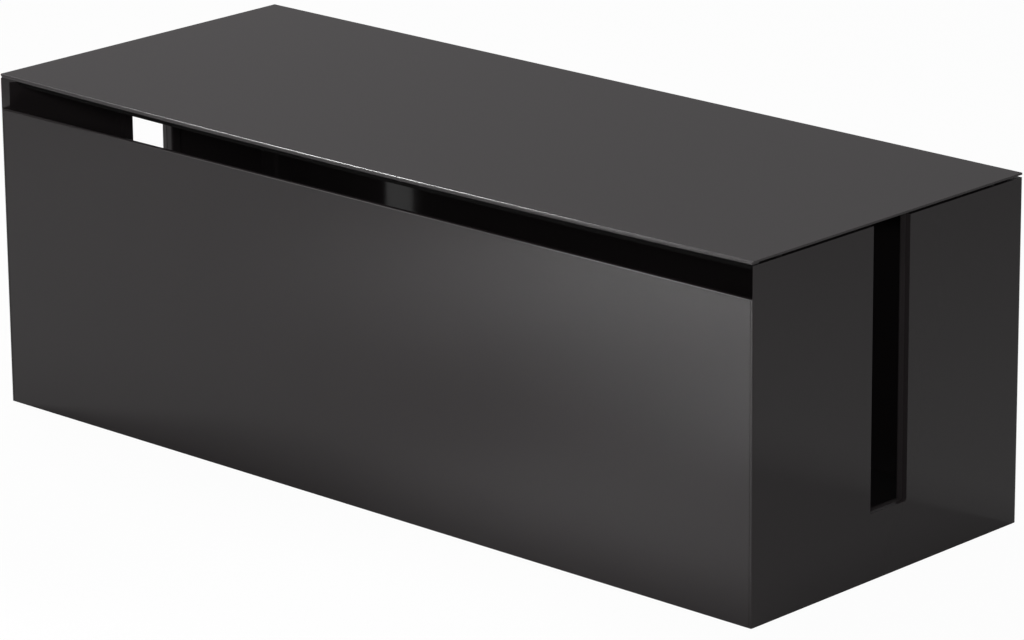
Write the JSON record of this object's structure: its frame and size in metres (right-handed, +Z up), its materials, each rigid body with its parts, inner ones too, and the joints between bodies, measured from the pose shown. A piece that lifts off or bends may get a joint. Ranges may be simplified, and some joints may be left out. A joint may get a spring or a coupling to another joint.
{
  "type": "cable management box",
  "caption": "Low rectangular box that hides a power strip and spare cable, with a lift-off flat lid, an open slot in each end for cables and an open gap along the front.",
  "frame": {"origin": "on the surface the box stands on, under the middle of its length and depth", "axes": "+X along the box to the right end, +Y from the front to the back, +Z up"},
  "size_m": [0.4, 0.156, 0.14],
  "materials": {
    "lid_steel": "fine matt powder coat, warm charcoal",
    "lid_rails": "matt black electrocoat primer",
    "panels": "satin to semi-gloss moulded ABS, warm charcoal",
    "inner_mouldings": "fine matt moulded ABS, near black",
    "screws": "zinc-plated steel",
    "rubber": "matt black rubber"
  },
  "bodies": {
    "box": {"front_panel": "panels", "rear_panel": "panels", "left_end_panel": "panels", "right_end_panel": "panels", "left_slot_liner": "inner_mouldings", "right_slot_liner": "inner_mouldings", "base_plate": "inner_mouldings", "front_left_post": "inner_mouldings", "front_right_post": "inner_mouldings", "rear_left_post": "inner_mouldings", "rear_right_post": "inner_mouldings", "base_screws": "screws", "front_left_foot": "rubber", "front_right_foot": "rubber", "rear_left_foot": "rubber", "rear_right_foot": "rubber"},
    "lid": {"lid_plate": "lid_steel", "lid_front_rail": "lid_rails", "lid_rear_rail": "lid_rails", "lid_left_front_rail": "lid_rails", "lid_left_rear_rail": "lid_rails", "lid_right_front_rail": "lid_rails", "lid_right_rear_rail": "lid_rails", "lid_cushion_dots": "rubber"}
  },
  "joints": [
    {"name": "lid_lift", "type": "slide", "parent": "box", "child": "lid", "axis": [0, 0, 1], "range_m": [0, 0.15]}
  ]
}
